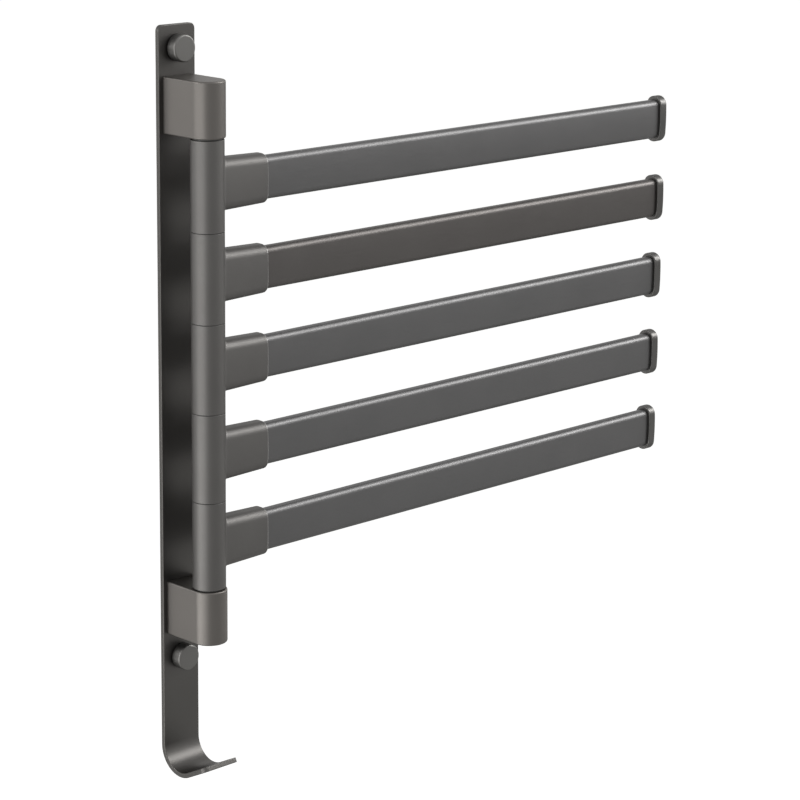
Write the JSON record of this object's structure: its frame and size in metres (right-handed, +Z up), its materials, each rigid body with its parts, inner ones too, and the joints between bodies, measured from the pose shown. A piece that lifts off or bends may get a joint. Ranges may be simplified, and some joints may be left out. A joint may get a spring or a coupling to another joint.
{
  "type": "swing arm towel bar",
  "caption": "Wall-mounted towel rail: flat oval bars on hubs that swing about an upright rod, on a flat plate whose foot is bent into a hook.",
  "frame": {"origin": "midway between the two wall screw holes, on the back face of the wall plate", "axes": "+Z up along the plate, +Y into the wall, so the front faces -Y, and +X along the arms at rest"},
  "size_m": [0.4187, 0.0403, 0.4555],
  "materials": {
    "plate": "satin gunmetal coat",
    "bracket": "satin gunmetal coat",
    "hub": "satin gunmetal coat",
    "bar": "satin gunmetal coat",
    "end_cap": "satin gunmetal coat",
    "screw_cover": "satin gunmetal coat",
    "steel": "plain turned steel",
    "nylon": "dark nylon"
  },
  "bodies": {
    "wall_frame": {"wall_plate": "plate", "pivot_rod": "steel", "rod_screw": "steel", "top_washer": "nylon", "bottom_washer": "nylon", "upper_bracket": "bracket", "upper_bracket_screws": "steel", "upper_cover_base": "screw_cover", "upper_screw_cover": "screw_cover", "lower_bracket": "bracket", "lower_bracket_screws": "steel", "lower_cover_base": "screw_cover", "lower_screw_cover": "screw_cover"},
    "arm_1": {"arm_1_hub": "hub", "arm_1_upper_bush": "nylon", "arm_1_lower_bush": "nylon", "arm_1_bar": "bar", "arm_1_end_cap": "end_cap"},
    "arm_2": {"arm_2_hub": "hub", "arm_2_upper_bush": "nylon", "arm_2_lower_bush": "nylon", "arm_2_bar": "bar", "arm_2_end_cap": "end_cap"},
    "arm_3": {"arm_3_hub": "hub", "arm_3_upper_bush": "nylon", "arm_3_lower_bush": "nylon", "arm_3_bar": "bar", "arm_3_end_cap": "end_cap"},
    "arm_4": {"arm_4_hub": "hub", "arm_4_upper_bush": "nylon", "arm_4_lower_bush": "nylon", "arm_4_bar": "bar", "arm_4_end_cap": "end_cap"},
    "arm_5": {"arm_5_hub": "hub", "arm_5_upper_bush": "nylon", "arm_5_lower_bush": "nylon", "arm_5_bar": "bar", "arm_5_end_cap": "end_cap"}
  },
  "joints": [
    {"name": "arm_1_swing", "type": "hinge", "parent": "wall_frame", "child": "arm_1", "pos_m": [0, -0.0293, 0.108], "axis": [0, 0, -1], "range_deg": [0, 180]},
    {"name": "arm_2_swing", "type": "hinge", "parent": "wall_frame", "child": "arm_2", "pos_m": [0, -0.0293, 0.054], "axis": [0, 0, -1], "range_deg": [0, 180]},
    {"name": "arm_3_swing", "type": "hinge", "parent": "wall_frame", "child": "arm_3", "pos_m": [0, -0.0293, 0], "axis": [0, 0, -1], "range_deg": [0, 180]},
    {"name": "arm_4_swing", "type": "hinge", "parent": "wall_frame", "child": "arm_4", "pos_m": [0, -0.0293, -0.054], "axis": [0, 0, -1], "range_deg": [0, 180]},
    {"name": "arm_5_swing", "type": "hinge", "parent": "wall_frame", "child": "arm_5", "pos_m": [0, -0.0293, -0.108], "axis": [0, 0, -1], "range_deg": [0, 180]}
  ]
}
